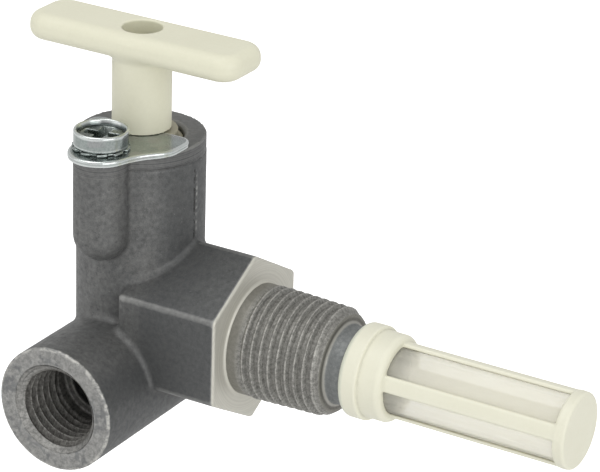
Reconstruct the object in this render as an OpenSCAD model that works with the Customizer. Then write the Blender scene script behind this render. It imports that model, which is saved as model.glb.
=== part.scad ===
// Quarter-turn fuel tap: a cast body with a male tank thread and strainer, a female
// side outlet, and a moulded plug with a T-handle held down by a screwed fork plate.
// Z is the plug axis, +X the tank thread, -Y the outlet. The origin lies on the tank
// thread's axis, at the middle of the thread's length.

/* [Barrel] */
// Outside diameter of the upright barrel
barrel_d = 19.05; // [18.4:0.05:20.5]
// Height of the barrel's top face above the inlet axis
barrel_top = 27.9; // [27.4:0.1:29.5]
// Height of the turned band below the top face
band_h = 2.4; // [1.5:0.1:4]
// Radial depth of the turned band
band_cut = 0.1; // [0.05:0.05:0.3]
// Chamfer at the barrel's top edge
top_chamfer = 0.5; // [0.2:0.1:0.8]
// Bore that the plug turns in
plug_bore_d = 12.4; // [12.2:0.05:12.8]
// Depth of that bore below the inlet axis
bore_floor = 12.6; // [12.4:0.1:13.4]
// Chamfer at the bore's mouth
bore_chamfer = 0.4; // [0.2:0.1:0.6]

/* [Screw boss] */
// Distance of the screw's axis from the plug axis
boss_y = 10.4; // [10.2:0.05:10.8]
// Diameter of the boss
boss_d = 8.1; // [7.8:0.05:8.8]
// Length of the boss down to its round end
boss_len = 12.4; // [11:0.1:14]
// Depth of the tapped hole
tap_depth = 9; // [8:0.1:10]

/* [Hexagon] */
// Hexagon across the flats
hex_af = 22.4; // [21.8:0.05:23.2]
// Distance of the hexagon's turned face from the plug axis
hex_face = 20; // [19.4:0.1:21]
// Where the hexagon grows out of the barrel
hex_back = 3; // [2:0.1:5]
// Corner rounding of the hexagon
hex_round = 1.4; // [0.8:0.1:2]
// Bevel at the foot of the neck
neck_bevel = 0.4; // [0.2:0.1:0.7]

/* [Tank thread] */
// Threads to the inch
tpi = 18; // [18:1:18]
// Crest diameter at the small end
thread_d = 16.3; // [16.1:0.05:16.8]
// Number of full ridges
ridges = 8; // [7:1:8]
// Where the first ridge begins, from the plug axis
thread_x = 22.2; // [21.6:0.1:22.6]
// Depth of the groove
groove_h = 0.92; // [0.7:0.02:0.95]
// Depth of the last groove, where the thread runs out
runout_h = 0.45; // [0.2:0.05:0.6]
// Width of that groove's floor
runout_w = 0.35; // [0.1:0.05:0.6]
// Diameter of the plain neck behind the thread
neck_d = 16.7; // [16.3:0.05:17.2]
// Width of the flat crest
crest_w = 0.24; // [0.16:0.02:0.3]
// Where the threaded part ends, from the plug axis
thread_end = 35.1; // [35:0.1:36]
// Diameter of the smooth nose
nose_d = 11.7; // [11:0.1:12.4]
// Length of the nose
nose_len = 2.6; // [2:0.1:3.5]
// Socket for the strainer in the nose
socket_d = 8.8; // [8.2:0.1:9.2]
// Depth of the socket
socket_depth = 7; // [6.5:0.1:8]
// Passage from the socket to the plug
inlet_d = 5.4; // [4.8:0.1:5.6]

/* [Outlet] */
// Outside diameter of the outlet
outlet_d = 19.05; // [18.6:0.05:20]
// Drop of the outlet's axis below the inlet's
outlet_drop = 8.1; // [7.9:0.05:8.6]
// Distance of the outlet's face from the plug axis
outlet_face = 22.3; // [21.5:0.1:24]
// Crest diameter of the outlet thread at its mouth
outlet_thread_d = 11.4; // [11.2:0.05:11.8]
// Number of ridges in the outlet
outlet_ridges = 6; // [5:1:7]
// Diameter of the hole drilled for the outlet thread
outlet_drill_d = 11; // [10.8:0.05:11.2]
// Length of its plain end behind the thread
drill_run = 1; // [0.5:0.1:1.4]
// Countersink at the mouth
countersink_d = 13.8; // [13.4:0.1:14.6]
// Passage behind the thread
outlet_d_in = 8.4; // [7.8:0.1:8.6]

/* [Handle and plug] */
// Diameter of the round stem
stem_d = 8.7; // [8.4:0.05:9.2]
// Running clearance of the plug on the radius
plug_play = 0.05; // [0.04:0.01:0.08]
// Top face of the T-bar above the inlet axis
handle_top = 44; // [42:0.1:48]
// Thickness of the T-bar
bar_h = 4; // [3.9:0.05:4.5]
// Width of the T-bar at its base
bar_w = 10.6; // [9:0.05:11]
// Draft of each side of the T-bar
bar_draft = 0.4; // [0.2:0.05:0.7]
// Reach of the arm over the tank thread
arm_front = 18.2; // [15:0.1:20]
// Reach of the other arm
arm_back = 17.6; // [15:0.1:20]
// Corner rounding of the T-bar seen from above
bar_corner = 3.2; // [2:0.1:4]
// Edge rounding along the top of the T-bar
bar_edge = 1.7; // [1.3:0.05:1.8]
// Edge rounding at the foot and the ends of the T-bar
bar_foot = 1.8; // [1.4:0.05:1.8]
// Fillet between stem and T-bar
stem_fillet = 0.8; // [0.5:0.1:1.2]
// Diameter of the blind hole in the top
core_d = 5.9; // [5.2:0.1:6.2]
// Depth of the blind hole
core_depth = 12; // [4:0.5:14]
// Top of the wide plug below the barrel's top face
plug_sink = 0.8; // [0.6:0.1:1.2]
// End of the plug below the inlet axis
plug_end = 3.6; // [3.4:0.1:3.8]
// Cross passage through the plug
plug_port_d = 5.2; // [4.6:0.1:5.4]
// Diameter of the rubber disc in the plug's side
seal_d = 6.8; // [6.4:0.1:6.8]
// Height of the stem seal above the inlet axis
ring_z = 20; // [16:0.1:22]
// Section of the stem seal
ring_d = 1.6; // [1.4:0.05:1.8]
// Radius of the quarter stop on top of the wide plug
stop_r = 5.7; // [5:0.05:5.9]
// Free turn left between the stop and a prong end
stop_gap = 0.3; // [0.1:0.05:0.5]

/* [Fork plate and screw] */
// Thickness of the fork plate
plate_t = 0.9; // [0.8:0.05:1.1]
// Radius of the round lobe under the screw
lobe_r = 4.95; // [4.8:0.05:5.3]
// Distance of the lobe's middle before the screw axis
lobe_out = 0.75; // [0.4:0.05:0.9]
// Radius of the fork's front shoulders
shoulder_r = 5.1; // [4.5:0.1:5.3]
// Distance of the shoulders' middles before the plug axis
shoulder_y = 4.4; // [4.2:0.1:5]
// Radius of the hollow waist between lobe and shoulders
hollow_r = 11.5; // [9:0.1:12.5]
// Radius of the fork's prong ends
prong_r = 1.3; // [1:0.1:2]
// Half width of the fork
fork_w = 8.8; // [8.6:0.05:9.2]
// Sideways set of the plate's outline about its notch
plate_side = 0.4; // [0:0.05:0.5]
// Distance of the prong ends before the plug axis
prong_y = 0.25; // [0.2:0.05:0.6]
// Radius of the notch round the stem's neck
notch_r = 3.9; // [3.85:0.05:4]
// Thickness of the toothed washer
washer_t = 0.5; // [0.4:0.05:0.7]
// Number of teeth
teeth = 10; // [8:1:12]
// Width of a tooth
tooth_w = 1.2; // [0.9:0.1:1.4]
// Length of a tooth
tooth_len = 0.85; // [0.6:0.05:1]
// Diameter of the screw head
head_d = 8; // [7.8:0.05:8.4]
// Height of the screw head
head_h = 2.4; // [2.2:0.05:2.8]
// Thread diameter of the screw
screw_d = 4; // [3.9:0.05:4]
// Length of the screw under its head
screw_len = 9; // [8.5:0.1:9.4]

/* [Strainer] */
// Diameter of the first collar, against the nose
collar_d = 14; // [13:0.1:14.4]
// Length of the first collar
collar_len = 3.1; // [2.6:0.1:4]
// Diameter of the second collar
step_d = 12.9; // [12.4:0.1:13.2]
// Length of the second collar
step_len = 3.6; // [3:0.1:4.5]
// Outside diameter over the ribs
ribs_d = 11.1; // [10.8:0.1:11.4]
// Width of a rib
rib_w = 2.4; // [1.8:0.1:2.8]
// Turn of the rib that faces the outlet side
rib_turn = 16.5; // [0:0.5:45]
// Diameter of the end cap
cap_d = 11.2; // [11:0.1:11.6]
// Thickness of the end cap
cap_t = 1.8; // [1.4:0.1:2.4]
// Length of the strainer beyond the nose
strainer_len = 35.1; // [28:0.1:45]
// Outside diameter of the mesh tube
mesh_d = 10; // [9.8:0.1:10.2]
// Thickness of the mesh tube
mesh_t = 0.3; // [0.25:0.05:0.4]
// Length of the spigot in the nose
spigot_len = 6; // [5:0.1:6.4]
// Clear way through the strainer
way_d = 6.4; // [5.8:0.1:6.8]

/* [Hidden] */
$fn = 96;
eps = 0.01;
inch = 25.4;
metal = "#77777a";
plated = "#c9cdd0";
cream = "#dedac2";
ivory = "#eeecdc";
rubber = "#26262a";
cloth = "#f0efe6";

pitch = inch / tpi;
taper = 1 / 32;               // growth of a pipe thread's radius along its axis
flank = tan(30);              // half the width of a ridge for each unit of height
barrel_r = barrel_d / 2;
bore_r = plug_bore_d / 2;
stem_r = stem_d / 2;
plug_r = bore_r - plug_play;
nose_end = thread_end + nose_len;
thread_r = thread_d / 2;
first_s = 0.75 * pitch;       // the first ridge's middle, from the small end
outlet_first_s = 0.9 * pitch; // the first ridge's middle, from the outlet's face
neck_r = neck_d / 2;
bar_base = handle_top - bar_h;
plug_top = barrel_top - plug_sink;
plate_top = barrel_top + plate_t;
plate_play = 0.12;            // room above and below the plate in the stem's neck
neck_play = 0.2;              // room between the notch and the stem's neck
waist_r = notch_r - neck_play;
hole_play = 0.2;              // room round the screw in the plate
washer_play = 0.1;            // room round the screw in the washer
head_z = plate_top + washer_t;
screw_r = screw_d / 2;
tooth_r = head_d / 2 + 0.15;  // the teeth just show round the screw head
tip_x = nose_end + strainer_len;
pocket_floor = 3.9;           // the rubber disc's pocket, from the plug axis
seal_play = 0.03;             // room between the rubber pieces and the plug bore
ring_in = plug_r - 0.8 * ring_d; // bottom of the stem seal's groove
ring_room = 0.2;              // room for the ring on each side in its groove
flare_lift = 0.4;             // height of the flare's rim inside the T-bar
stop_rise = 0.6;              // height of the quarter stop over the barrel's top face
seat = 1;                     // length of mesh held in the second collar
spigot_r = socket_d / 2;
mesh_x = nose_end + collar_len + step_len - seat;
mesh_end = tip_x - cap_t * 2 / 3;

// Everything is drawn about the plug axis and then carried to the origin
module placed() { translate([-(thread_x + thread_end) / 2, 0, 0]) children(); }

// A cylinder lying along +X, from x0 to x1
module rod_x(r, x0, x1) { translate([x0, 0, 0]) rotate([0, 90, 0]) cylinder(r = r, h = x1 - x0); }

// A cylinder lying along -Y, from y0 to y1 before the plug axis
module rod_y(r, y0, y1) { translate([0, -y0, 0]) rotate([90, 0, 0]) cylinder(r = r, h = y1 - y0); }

// Four corner points of one ridge or groove of a tapered thread: crest flat, then root flat.
// s is the crest's middle, r the crest radius there, dir +1 outward or -1 inward.
function ridge(s, r, dir) =
    let (root_s = crest_w / 2 + groove_h * flank)
    [[r, s - crest_w / 2], [r, s + crest_w / 2],
     [r - dir * groove_h, s + root_s], [r - dir * groove_h, s + pitch - root_s]];

// Profile of the male thread as radius and distance from the small end. The last groove
// runs out shallow, into the plain neck.
function male_profile() =
    let (pts = [for (k = [0:ridges - 1]) each
        ridge(first_s + k * pitch, thread_r + taper * (first_s + k * pitch), 1)],
        n = len(pts), last = pts[n - 3], low = neck_r - runout_h,
        s1 = last[1] + (last[0] - low) * flank, s2 = s1 + runout_w)
    concat([[0, 0], [thread_r - groove_h, 0], [thread_r - groove_h, first_s - crest_w / 2
            - groove_h * flank]],
        [for (k = [0:n - 3]) pts[k]],
        [[low, s1], [low, s2], [neck_r, s2 + runout_h * flank],
         [neck_r, thread_end - hex_face], [0, thread_end - hex_face]]);

// Profile of the space inside the outlet thread, as radius and depth. The thread runs out
// into the plain end of its drilled hole.
function female_profile() =
    let (r0 = outlet_thread_d / 2,
        pts = [for (k = [0:outlet_ridges - 1]) each
            ridge(outlet_first_s + k * pitch, r0 - taper * k * pitch, -1)],
        n = len(pts), cs = countersink_d / 2, drilled = outlet_drill_d / 2,
        end_s = pts[n - 1][1] + (pts[n - 1][0] - drilled) * flank)
    concat([[0, -eps], [cs, -eps], [r0 + groove_h, cs - r0 - groove_h],
        [r0 + groove_h, outlet_first_s - crest_w / 2 - groove_h * flank]],
        pts,
        [[drilled, end_s], [drilled, end_s + drill_run],
         [outlet_d_in / 2, end_s + drill_run], [outlet_d_in / 2, outlet_face - bore_r / 2],
         [0, outlet_face - bore_r / 2]]);

// Hexagonal bar with rounded corners, its corners above and below the axis
module hex_bar() {
    corner = hex_af / 2 / cos(30);
    round_at = corner - hex_round / cos(30);
    translate([hex_back, 0, 0]) rotate([90, 0, 90]) linear_extrude(hex_face - hex_back)
        union() {
            for (k = [0:5]) rotate(60 * k) {
                translate([0, round_at]) circle(r = hex_round);
                rotate(30) translate([-round_at / 2, 0]) square([round_at, hex_af / 2]);
            }
        }
}

// The upright barrel with its turned band and chamfered top
module barrel() {
    band_r = barrel_r - band_cut;
    rotate_extrude() polygon([[0, -outlet_drop], [barrel_r, -outlet_drop],
        [barrel_r, barrel_top - band_h], [band_r, barrel_top - band_h],
        [band_r, barrel_top - 2 * top_chamfer], [band_r - top_chamfer, barrel_top],
        [0, barrel_top]]);
}

// The outlet's round wall, closed behind by the barrel's own roundness
module outlet_wall() {
    translate([0, 0, -outlet_drop]) {
        rod_y(outlet_d / 2, 0, outlet_face);
        intersection() {
            rod_y(outlet_d / 2, -barrel_r, eps);
            translate([0, 0, -outlet_d]) cylinder(r = barrel_r, h = 2 * outlet_d);
        }
    }
}

// The boss under the screw with its half-round lower end
module boss() {
    translate([0, -boss_y, barrel_top - boss_len]) {
        cylinder(d = boss_d, h = boss_len);
        sphere(d = boss_d);
    }
}

module body() {
    color(metal) placed() difference() {
        union() {
            barrel();
            boss();
            hex_bar();
            outlet_wall();
            translate([thread_end, 0, 0]) rotate([0, -90, 0])
                rotate_extrude() polygon(male_profile());
            rod_x(neck_r + neck_bevel, hex_face - eps, hex_face + neck_bevel / 2);
            rod_x(nose_d / 2, thread_end - 1, nose_end);
        }
        // plug bore with its chamfered mouth
        translate([0, 0, -bore_floor]) cylinder(r = bore_r, h = bore_floor + barrel_top + 1);
        translate([0, 0, barrel_top - bore_chamfer])
            cylinder(r1 = bore_r, r2 = bore_r + bore_chamfer + eps, h = bore_chamfer + eps);
        // inlet passage and strainer socket
        rod_x(inlet_d / 2, 0, nose_end);
        rod_x(spigot_r, nose_end - socket_depth, nose_end + 1);
        // outlet thread and passage
        translate([0, -outlet_face, -outlet_drop]) rotate([-90, 0, 0])
            rotate_extrude() polygon(female_profile());
        // tapped hole in the boss
        translate([0, -boss_y, barrel_top - tap_depth]) cylinder(r = screw_r, h = tap_depth + 1);
    }
}

// Points where the outer tangent of two circles touches them, on the left of a to b
function tangent(a, ra, b, rb) =
    let (d = b - a, turn = atan2(d[1], d[0]) + acos((ra - rb) / norm(d)),
        n = [cos(turn), sin(turn)])
    [a + ra * n, b + rb * n];

// End view of the T-bar: straight drafted sides between rounded edges
module bar_section() {
    low = [bar_w / 2 - bar_foot, bar_foot];
    top = [bar_w / 2 - bar_draft - bar_edge, bar_h - bar_edge];
    t = tangent(top, bar_edge, low, bar_foot);
    polygon([[-top[0], bar_h], [top[0], bar_h], t[0], t[1], [low[0], 0], [-low[0], 0],
        [-t[1][0], t[1][1]], [-t[0][0], t[0][1]]]);
    for (m = [-1, 1]) {
        translate([m * low[0], low[1]]) circle(r = bar_foot);
        translate([m * top[0], top[1]]) circle(r = bar_edge);
    }
}

// Rectangle from x0 to x1 and y0 to y1 with rounded corners
module soft_rect(x0, x1, y0, y1, r) {
    translate([x0 + r, y0]) square([x1 - x0 - 2 * r, y1 - y0]);
    translate([x0, y0 + r]) square([x1 - x0, y1 - y0 - 2 * r]);
    for (x = [x0 + r, x1 - r], y = [y0 + r, y1 - r]) translate([x, y]) circle(r = r);
}

// The T-bar, rounded in plan, along its sides and at its ends
module t_bar() {
    translate([0, 0, bar_base]) intersection() {
        linear_extrude(bar_h) soft_rect(-arm_back, arm_front, -bar_w / 2, bar_w / 2, bar_corner);
        translate([-arm_back, 0, 0]) rotate([90, 0, 90])
            linear_extrude(arm_back + arm_front) bar_section();
        translate([0, bar_w / 2, 0]) rotate([90, 0, 0])
            linear_extrude(bar_w) soft_rect(-arm_back, arm_front, 0, bar_h, bar_foot);
    }
}

// The flare that joins the stem to the underside of the T-bar
module flare() {
    translate([0, 0, bar_base + flare_lift - stem_fillet]) rotate_extrude() difference() {
        square([stem_r + stem_fillet, stem_fillet + eps]);
        translate([stem_r + stem_fillet, 0]) circle(r = stem_fillet);
    }
}

module handle() {
    shoulder = 0.4;      // bevels at both ends of the wide plug
    relief = 0.5;        // depth of the waist between the plug's two bearing lands
    land = 4;            // top of the lower land, above the inlet axis
    seal_land = 2.5;     // height of the upper land below the ring's middle
    gap_half = ring_d / 2 + ring_room;
    axial_r = plug_port_d / 2;
    stop_h = plug_sink + stop_rise;
    color(cream) placed() difference() {
        union() {
            t_bar();
            flare();
            // stem, neck for the fork plate, and wide plug in one turned outline
            rotate_extrude() polygon([[0, -plug_end], [plug_r - shoulder, -plug_end],
                [plug_r, shoulder - plug_end], [plug_r, land], [plug_r - relief, land + relief],
                [plug_r - relief, ring_z - seal_land - relief], [plug_r, ring_z - seal_land],
                [plug_r, ring_z - gap_half], [ring_in, ring_z - gap_half],
                [ring_in, ring_z + gap_half], [plug_r, ring_z + gap_half],
                [plug_r, plug_top - shoulder], [plug_r - shoulder, plug_top],
                [waist_r, plug_top], [waist_r, plate_top + plate_play],
                [stem_r, plate_top + plate_play], [stem_r, bar_base + eps], [0, bar_base + eps]]);
            // quarter stop that meets a prong end at either limit
            translate([0, 0, plug_top - eps]) intersection() {
                cylinder(r = stop_r, h = stop_h);
                translate([stop_gap - prong_y, stop_gap - prong_y, 0])
                    cube([2 * stop_r, 2 * stop_r, stop_h]);
            }
        }
        // blind hole in the top
        translate([0, 0, handle_top - core_depth]) cylinder(d = core_d, h = core_depth + 1);
        // cross passage toward the inlet and down the middle to the open end
        rod_x(axial_r, 0, 2 * plug_r);
        translate([0, 0, -plug_end - 1]) cylinder(r = axial_r, h = plug_end + 1);
        sphere(r = axial_r);
        // pocket for the rubber disc, a quarter turn from the cross passage
        rod_y(seal_d / 2, pocket_floor, 2 * plug_r);
    }
}

module stem_seal() {
    ring_out = bore_r - seal_play;
    color(rubber) placed() translate([0, 0, ring_z]) rotate_extrude() intersection() {
        translate([(ring_in + ring_out) / 2, 0]) circle(d = ring_d);
        translate([ring_in, -ring_d]) square([ring_out - ring_in, 2 * ring_d]);
    }
}

module closing_seal() {
    color(rubber) placed() intersection() {
        rod_y(seal_d / 2, pocket_floor, 2 * plug_r);
        translate([0, 0, -seal_d]) cylinder(r = bore_r - seal_play, h = 2 * seal_d);
    }
}

// Outline of the fork plate: round lobe, hollow waist, and a fork with rounded shoulders
module plate_outline() {
    lobe = [0, -boss_y - lobe_out];
    low = [fork_w - shoulder_r, -shoulder_y];
    tip = [fork_w - prong_r, -prong_y - prong_r];
    d = norm(low - lobe);
    a = (pow(lobe_r + hollow_r, 2) - pow(shoulder_r + hollow_r, 2) + d * d) / (2 * d);
    h = sqrt(pow(lobe_r + hollow_r, 2) - a * a);
    e = (low - lobe) / d;
    hollow = lobe + a * e + h * [e[1], -e[0]];
    t1 = lobe + (hollow - lobe) * lobe_r / (lobe_r + hollow_r);
    t2 = low + (hollow - low) * shoulder_r / (shoulder_r + hollow_r);
    difference() {
        translate([plate_side, 0]) {
            translate(lobe) circle(r = lobe_r);
            for (m = [0, 1]) mirror([m, 0]) {
                // a shoulder stays before the flat prong end
                intersection() {
                    translate(low) circle(r = shoulder_r);
                    translate([-fork_w, -prong_y - 2 * fork_w]) square([3 * fork_w, 2 * fork_w]);
                }
                translate(tip) circle(r = prong_r);
                difference() {
                    polygon([lobe, t1, t2, low, [fork_w, low[1]], [fork_w, tip[1]], tip,
                        [tip[0], -prong_y], [0, -prong_y]]);
                    translate(hollow) circle(r = hollow_r);
                }
            }
        }
        circle(r = notch_r);
        translate([0, -boss_y]) circle(r = screw_r + hole_play);
    }
}

module fork_plate() {
    color(plated) placed() translate([0, 0, barrel_top]) linear_extrude(plate_t) plate_outline();
}

module lock_washer() {
    root_r = tooth_r - tooth_len;
    color(plated) placed() translate([0, -boss_y, plate_top]) linear_extrude(washer_t)
        difference() {
            union() {
                circle(r = root_r);
                for (k = [0:teeth - 1]) rotate(360 / teeth * k) translate([0, -tooth_w / 2])
                    square([tooth_r, tooth_w]);
            }
            circle(r = screw_r + washer_play);
        }
}

module screw() {
    head_r = head_d / 2;
    edge = 0.35;         // rounding of the head's edge
    rim = 0.75;          // width of the flat rim and of the slope inside it
    dish = 0.45;         // depth of the sunk top
    slot_w = 1.1;        // cross recess: width, length, depth and how far it is turned
    slot_l = 4.6;
    slot_depth = 1.5;
    slot_turn = 20;
    point = 0.6;         // length and depth of the bevel at the screw's end
    point_in = 0.5;
    color(plated) placed() translate([0, -boss_y, head_z]) {
        difference() {
            union() {
                cylinder(r = head_r - edge / 2, h = edge + eps);
                translate([0, 0, edge]) rotate_extrude() union() {
                    square([head_r - edge, head_h - edge]);
                    square([head_r, head_h - 2 * edge]);
                    translate([head_r - edge, head_h - 2 * edge]) circle(r = edge);
                }
            }
            translate([0, 0, head_h - dish])
                cylinder(r1 = head_r - 2 * rim, r2 = head_r - rim, h = dish + eps);
            for (k = [0, 90]) rotate(k + slot_turn)
                translate([-slot_l / 2, -slot_w / 2, head_h - slot_depth])
                    cube([slot_l, slot_w, slot_depth + 1]);
        }
        translate([0, 0, -screw_len]) {
            translate([0, 0, point]) cylinder(r = screw_r, h = screw_len - point + eps);
            cylinder(r1 = screw_r - point_in, r2 = screw_r, h = point + eps);
        }
    }
}

module strainer_frame() {
    step_x = nose_end + collar_len;
    bevel = 0.5;
    color(ivory) placed() difference() {
        union() {
            // both collars and the spigot in one turned outline
            rotate([0, 90, 0]) rotate_extrude() polygon([[0, nose_end - spigot_len],
                [spigot_r - bevel, nose_end - spigot_len], [spigot_r, nose_end - spigot_len + bevel],
                [spigot_r, nose_end], [collar_d / 2, nose_end], [collar_d / 2, step_x - bevel],
                [collar_d / 2 - bevel / 2, step_x], [step_d / 2, step_x],
                [step_d / 2, step_x + step_len - 2 * bevel],
                [step_d / 2 - bevel, step_x + step_len], [0, step_x + step_len]]);
            // four ribs round the mesh
            for (k = [0:3]) rotate([90 * k - rib_turn, 0, 0]) intersection() {
                rod_x(ribs_d / 2, mesh_x, tip_x - cap_t + eps);
                translate([mesh_x, -ribs_d, -rib_w / 2]) cube([strainer_len, ribs_d, rib_w]);
            }
            // end cap
            rod_x(cap_d / 2, tip_x - cap_t, tip_x);
        }
        rod_x(way_d / 2, nose_end - spigot_len - 1, mesh_x + seat);
        rod_x(mesh_d / 2, mesh_x, mesh_end);
    }
}

module strainer_mesh() {
    color(cloth) placed() difference() {
        rod_x(mesh_d / 2, mesh_x, mesh_end);
        rod_x(mesh_d / 2 - mesh_t, mesh_x - 1, mesh_end + 1);
    }
}

body();
handle();
stem_seal();
closing_seal();
fork_plate();
lock_washer();
screw();
strainer_frame();
strainer_mesh();
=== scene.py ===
"""Looks of a quarter-turn fuel tap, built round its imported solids.

Sizes are millimetres about the plug's axis: Z up the plug, +X along the tank thread, -Y out of
the outlet. put() turns them into metres from the row's origin.
"""
import math

import bpy
import numpy as np
from mathutils import Matrix, Vector


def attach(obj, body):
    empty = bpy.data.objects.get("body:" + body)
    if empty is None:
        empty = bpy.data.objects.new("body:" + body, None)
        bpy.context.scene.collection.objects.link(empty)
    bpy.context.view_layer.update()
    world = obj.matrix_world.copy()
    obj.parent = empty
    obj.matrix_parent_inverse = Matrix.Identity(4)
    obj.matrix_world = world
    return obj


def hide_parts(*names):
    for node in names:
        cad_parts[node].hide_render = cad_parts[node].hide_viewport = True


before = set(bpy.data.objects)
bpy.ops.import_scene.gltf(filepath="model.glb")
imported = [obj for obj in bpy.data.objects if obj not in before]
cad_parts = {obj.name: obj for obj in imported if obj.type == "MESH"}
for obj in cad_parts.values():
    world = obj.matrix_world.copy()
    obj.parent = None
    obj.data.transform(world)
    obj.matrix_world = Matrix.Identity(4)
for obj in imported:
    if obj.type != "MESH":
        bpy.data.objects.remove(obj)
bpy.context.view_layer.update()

ROW_SHIFT = np.array([28.65, 0.0, 0.0])     # from the plug's axis to the row's origin

# Barrel with its turned band, screw boss and outlet
BARREL_R, BARREL_TOP, BORE_R, BORE_FLOOR = 9.525, 27.9, 6.2, -12.6
BAND_Z, GROOVE_Z = 25.5, 25.45
BOSS_Y, BOSS_R, BOSS_FOOT, BOSS_HOLE_R, BOSS_HOLE_FLOOR = -10.4, 4.05, 15.5, 2.0, 18.9
OUTLET_Z, OUTLET_FACE, OUTLET_R = -8.1, -22.3, 9.525
TAPPED_DEPTH, DRILL_R, OUTLET_WAY_R = 10.6, 5.5, 4.2

# Hexagon, neck, tank thread and nose
HEX_HALF, HEX_SLANT, HEX_BACK, HEX_FACE = 11.2, 0.12, 3.0, 20.0
NECK_R, THREAD_R, THREAD_START, THREAD_END = 8.35, 8.1, 21.4, 35.1
NOSE_R, NOSE_END, SOCKET_R, SOCKET_FLOOR, INLET_R = 5.85, 37.7, 4.4, 30.7, 2.7

# Both threads: pitch, change of radius along a millimetre, half the width of a crest
PITCH, TAPER, CREST_HALF = 25.4 / 18, 1 / 32, 0.07

# Handle: T-bar, stem, waist, plug with its seal groove, and the blind hole in the top
BAR_RIGHT, BAR_LEFT, BAR_HALF, BAR_BASE, HANDLE_TOP = 18.2, 17.6, 5.3, 40.0, 44.0
STEM_R, STEM_BASE, WAIST_R, STOP_R, STOP_TOP = 4.35, 28.85, 3.7, 5.3, 28.5
PLUG_R, PLUG_TOP, PLUG_END, GROOVE_R, SEAL_Z = 6.15, 27.1, -3.6, 4.87, 20
TOP_HOLE_R, TOP_HOLE_FLOOR, PASSAGE_R = 2.95, 31.9, 2.6

# Fork plate, washer and screw
PLATE_TOP, WASHER_TOP, NOTCH_R = 28.8, 29.3, 3.9
HEAD_R, HEAD_TOP, DISH_R, DISH_FLOOR, SHANK_R = 4.0, 31.7, 3.62, 30.95, 1.99

# Strainer: spigot, two collars, ribs, cap and cloth
SPIGOT_R, SPIGOT_START, COLLAR_R, COLLAR_END = 4.38, 31.75, 7.0, 40.8
STEP_R, STEP_START, STEP_END, CAP_R, CAP_START, TIP_X = 6.45, 39, 44.4, 5.6, 71.0, 72.8
RIB_R, RIB_HALF, RIB_TURN, MESH_R, CLOTH_R = 5.55, 1.2, 16.5, 5.0, 4.97


# ---------------------------------------------------------------- distance fields

def join(a, b, r):
    """Union of two distance fields. The crease gets a fillet: r - hypot(r - a, r - b)."""
    return np.maximum(r, np.minimum(a, b)) - np.hypot(np.maximum(r - a, 0), np.maximum(r - b, 0))


def meet(a, b, r):
    """Intersection of two distance fields with its edge rounded to radius r."""
    return -join(-a, -b, r)


def cut(a, b, r):
    """Field a with field b taken out and the edge rounded to radius r."""
    return meet(a, -b, r)


def span(v, low, high):
    """Signed distance to a slab between two levels of one coordinate."""
    return np.maximum(low - v, v - high)


def polygon(points, u, v):
    """Signed distance from (u, v) to a closed outline: the least distance to its sides, negative
    inside, where a ray crosses an odd number of sides."""
    near, inside = np.inf, False
    for a, b in zip(points, np.roll(points, -1, axis=0)):
        e = b - a
        t = np.clip(((u - a[0]) * e[0] + (v - a[1]) * e[1]) / (e @ e), 0, 1)
        near = np.minimum(near, (u - a[0] - t * e[0]) ** 2 + (v - a[1] - t * e[1]) ** 2)
        crossing = e[0] * (v - a[1]) / (e[1] or 1e-9) + a[0]
        inside = inside ^ (((a[1] > v) != (b[1] > v)) & (u < crossing))
    return np.where(inside, -1.0, 1.0) * np.sqrt(near)


def ripple(x, y, z, size, seed):
    """Smooth unevenness from -1 to 1: a mean of sines along seeded directions, size the
    wavelength."""
    rng = np.random.default_rng(seed)
    waves, total = 7, 0.0
    for _ in range(waves):
        d = rng.normal(size=3)
        d *= 2 * math.pi / size * rng.uniform(0.6, 1.5) / np.linalg.norm(d)
        total = total + np.sin(x * d[0] + y * d[1] + z * d[2] + rng.uniform(0, 6.28))
    return total / waves


def beside(field, p, h):
    """Values of a field a step h ahead of points p and behind them, for each axis in turn."""
    for step in h * np.eye(3):
        yield field(*(p + step).T), field(*(p - step).T)


def slope(field, p, h):
    """Gradient of a field at points p, by central differences of step h."""
    return np.stack([(ahead - behind) / (2 * h) for ahead, behind in beside(field, p, h)], 1)


# ---------------------------------------------------------------- surfaces of fields

CORNERS = [(i, j, k) for i in (0, 1) for j in (0, 1) for k in (0, 1)]


def mean_crossings(f, cells):
    """Where a field's zero level crosses the edges of each cell: the mean, in cells."""
    total, hits = np.zeros((len(cells), 3)), np.zeros(len(cells))
    for near in CORNERS:
        for axis in range(3):
            if near[axis]:
                continue
            far = np.array(near)
            far[axis] = 1
            a, b = f[tuple((cells + near).T)], f[tuple((cells + far).T)]
            crossed = (a < 0) != (b < 0)
            t = np.where(crossed, a / np.where(crossed, a - b, 1), 0)
            at = np.array(near, float) + t[:, None] * (far - np.array(near))
            total += np.where(crossed[:, None], at, 0)
            hits += crossed
    return cells + total / hits[:, None]


def crossed_quads(inside, number):
    """One quad round each grid edge that the surface crosses, through the vertices of the four
    cells that share the edge, and turned so that it faces outward."""
    quads = []
    for axis in range(3):
        b, c = (axis + 1) % 3, (axis + 2) % 3
        shift = np.eye(3, dtype=int)[axis]
        size = np.array(inside.shape) - shift
        first = inside[:size[0], :size[1], :size[2]]
        second = inside[shift[0]:, shift[1]:, shift[2]:]
        edges = np.argwhere(first != second)
        within = (edges[:, b] > 0) & (edges[:, b] < number.shape[b])
        within &= (edges[:, c] > 0) & (edges[:, c] < number.shape[c])
        edges = edges[within]
        ring = []
        for back_b, back_c in ((1, 1), (0, 1), (0, 0), (1, 0)):
            cell = edges.copy()
            cell[:, b] -= back_b
            cell[:, c] -= back_c
            ring.append(number[tuple(cell.T)])
        ring = np.stack(ring, 1)
        leaving = first[tuple(edges.T)]
        quads.append(np.where(leaving[:, None], ring, ring[:, ::-1]))
    return np.concatenate(quads)


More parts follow.
